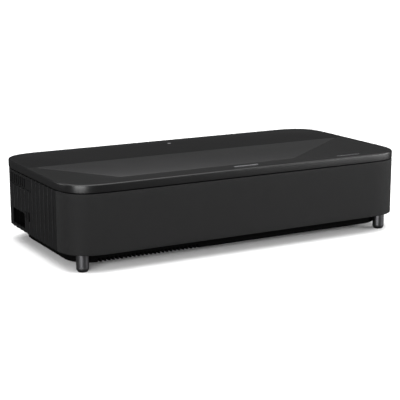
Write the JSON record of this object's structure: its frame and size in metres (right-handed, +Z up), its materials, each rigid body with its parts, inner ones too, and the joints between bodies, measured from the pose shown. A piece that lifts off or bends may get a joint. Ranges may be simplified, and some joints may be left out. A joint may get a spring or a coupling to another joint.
{
  "type": "home projector",
  "caption": "Ultra-short-throw laser home projector with a sliding lens door, cloth speaker front, ribbed sides and screw-adjusted front feet.",
  "frame": {"origin": "on the supporting surface, under the middle of the cabinet", "axes": "+X to the viewer's right along the width, -Y out of the cloth front, +Y towards the wall it projects on, +Z up"},
  "size_m": [0.695, 0.341, 0.157],
  "materials": {
    "case_black": "fine satin grain",
    "side_black": "satin",
    "cloth_black": "tightly woven",
    "base_black": "matt",
    "inner_grey": "cast, painted",
    "foot_metal": "dark polished",
    "rubber_black": "matt",
    "steel": "plated",
    "aluminium": "bare extrusion",
    "window_glass": "polished",
    "mirror_silver": "polished",
    "board_green": "solder mask",
    "gear_white": "moulded",
    "badge_grey": "satin",
    "filter_foam": "pleated",
    "phosphor_yellow": "coated"
  },
  "bodies": {
    "cabinet": {"audio_socket": "steel", "badge_strip": "badge_grey", "base_slab": "base_black", "bottom_case": "base_black", "cable_bay": "base_black", "case_screw_left": "steel", "case_screw_right": "steel", "curved_mirror": "mirror_silver", "door_motor": "steel", "fan_frame_exhaust_front": "base_black", "fan_frame_exhaust_rear": "base_black", "fan_frame_intake": "base_black", "focus_motor": "steel", "front_cloth": "cloth_black", "front_frame": "case_black", "front_lens": "window_glass", "hdmi_socket_1": "steel", "hdmi_socket_2": "steel", "laser_heatsink": "aluminium", "laser_module": "inner_grey", "lens_barrel": "base_black", "main_board": "board_green", "mirror_bay": "base_black", "optical_engine": "inner_grey", "power_board": "board_green", "power_inlet": "base_black", "projection_window": "window_glass", "rear_foot_left": "rubber_black", "rear_foot_right": "rubber_black", "rear_panel": "side_black", "rear_sensor": "window_glass", "side_panel_left": "side_black", "side_panel_right": "side_black", "speaker_basket_left": "steel", "speaker_basket_right": "steel", "status_light": "window_glass", "top_lid": "case_black", "usb_socket": "steel", "wheel_motor": "steel"},
    "lens_door": {"lens_door": "case_black", "door_rack": "gear_white"},
    "door_pinion": {"door_pinion": "gear_white"},
    "foot_pad_left": {"foot_pad_left": "rubber_black"},
    "foot_sleeve_left": {"foot_sleeve_left": "foot_metal"},
    "foot_pad_right": {"foot_pad_right": "rubber_black"},
    "foot_sleeve_right": {"foot_sleeve_right": "foot_metal"},
    "filter_cover": {"filter_cover": "side_black", "air_filter": "filter_foam"},
    "cable_cover": {"cable_cover": "side_black"},
    "power_button": {"power_button": "case_black"},
    "focus_ring": {"focus_ring": "base_black"},
    "focus_pinion": {"focus_pinion": "gear_white"},
    "phosphor_wheel": {"phosphor_wheel": "phosphor_yellow"},
    "fan_rotor_intake": {"fan_rotor_intake": "base_black"},
    "fan_rotor_exhaust_front": {"fan_rotor_exhaust_front": "base_black"},
    "fan_rotor_exhaust_rear": {"fan_rotor_exhaust_rear": "base_black"},
    "speaker_cone_left": {"speaker_cone_left": "rubber_black"},
    "speaker_cone_right": {"speaker_cone_right": "rubber_black"}
  },
  "joints": [
    {"name": "lens_door_slide", "type": "slide", "parent": "cabinet", "child": "lens_door", "axis": [0, 1, 0], "range_m": [0, 0.1]},
    {"name": "door_pinion_turn", "type": "hinge", "parent": "cabinet", "child": "door_pinion", "pos_m": [0.099, -0.005, 0.122], "axis": [1, 0, 0], "range_deg": [-725, 0]},
    {"name": "foot_left_height", "type": "slide", "parent": "cabinet", "child": "foot_pad_left", "axis": [0, 0, -1], "range_m": [0, 0.01]},
    {"name": "foot_right_height", "type": "slide", "parent": "cabinet", "child": "foot_pad_right", "axis": [0, 0, -1], "range_m": [0, 0.01]},
    {"name": "foot_left_turn", "type": "hinge", "parent": "foot_pad_left", "child": "foot_sleeve_left", "pos_m": [-0.313, -0.139, 0.02], "axis": [0, 0, -1], "range_deg": [0, 2881]},
    {"name": "foot_right_turn", "type": "hinge", "parent": "foot_pad_right", "child": "foot_sleeve_right", "pos_m": [0.313, -0.139, 0.02], "axis": [0, 0, -1], "range_deg": [0, 2881]},
    {"name": "filter_cover_pull", "type": "slide", "parent": "cabinet", "child": "filter_cover", "axis": [1, 0, 0], "range_m": [0, 0.03]},
    {"name": "cable_cover_pull", "type": "slide", "parent": "cabinet", "child": "cable_cover", "axis": [0, 1, 0], "range_m": [0, 0.02]},
    {"name": "power_button_press", "type": "slide", "parent": "cabinet", "child": "power_button", "axis": [0, -1, 0], "range_m": [0, 0.0012], "stiffness_N_per_m": 800, "springref_m": -0.0005},
    {"name": "focus_ring_turn", "type": "hinge", "parent": "cabinet", "child": "focus_ring", "pos_m": [-0.057, 0, 0.092], "axis": [0, 1, 0], "range_deg": [-24, 24]},
    {"name": "focus_pinion_turn", "type": "hinge", "parent": "cabinet", "child": "focus_pinion", "pos_m": [-0.01075, 0, 0.092], "axis": [0, 1, 0], "range_deg": [-115, 115]},
    {"name": "phosphor_wheel_spin", "type": "hinge", "parent": "cabinet", "child": "phosphor_wheel", "pos_m": [0.003, 0.104, 0.088], "axis": [1, 0, 0], "continuous": true},
    {"name": "fan_intake_spin", "type": "hinge", "parent": "cabinet", "child": "fan_rotor_intake", "pos_m": [0.31, 0, 0.086], "axis": [1, 0, 0], "continuous": true},
    {"name": "fan_exhaust_front_spin", "type": "hinge", "parent": "cabinet", "child": "fan_rotor_exhaust_front", "pos_m": [-0.325, -0.06, 0.09], "axis": [1, 0, 0], "continuous": true},
    {"name": "fan_exhaust_rear_spin", "type": "hinge", "parent": "cabinet", "child": "fan_rotor_exhaust_rear", "pos_m": [0.25, 0.105, 0.086], "axis": [1, 0, 0], "continuous": true},
    {"name": "speaker_left_stroke", "type": "slide", "parent": "cabinet", "child": "speaker_cone_left", "axis": [0, 1, 0], "range_m": [-0.0008, 0.0008], "stiffness_N_per_m": 1500},
    {"name": "speaker_right_stroke", "type": "slide", "parent": "cabinet", "child": "speaker_cone_right", "axis": [0, 1, 0], "range_m": [-0.0008, 0.0008], "stiffness_N_per_m": 1500}
  ],
  "couplings": [
    {"joint": "door_pinion_turn", "follows": "lens_door_slide", "rad_per_m": -125},
    {"joint": "foot_left_turn", "follows": "foot_left_height", "rad_per_m": 5026.5},
    {"joint": "foot_right_turn", "follows": "foot_right_height", "rad_per_m": 5026.5},
    {"joint": "focus_pinion_turn", "follows": "focus_ring_turn", "ratio": -4.2857}
  ]
}
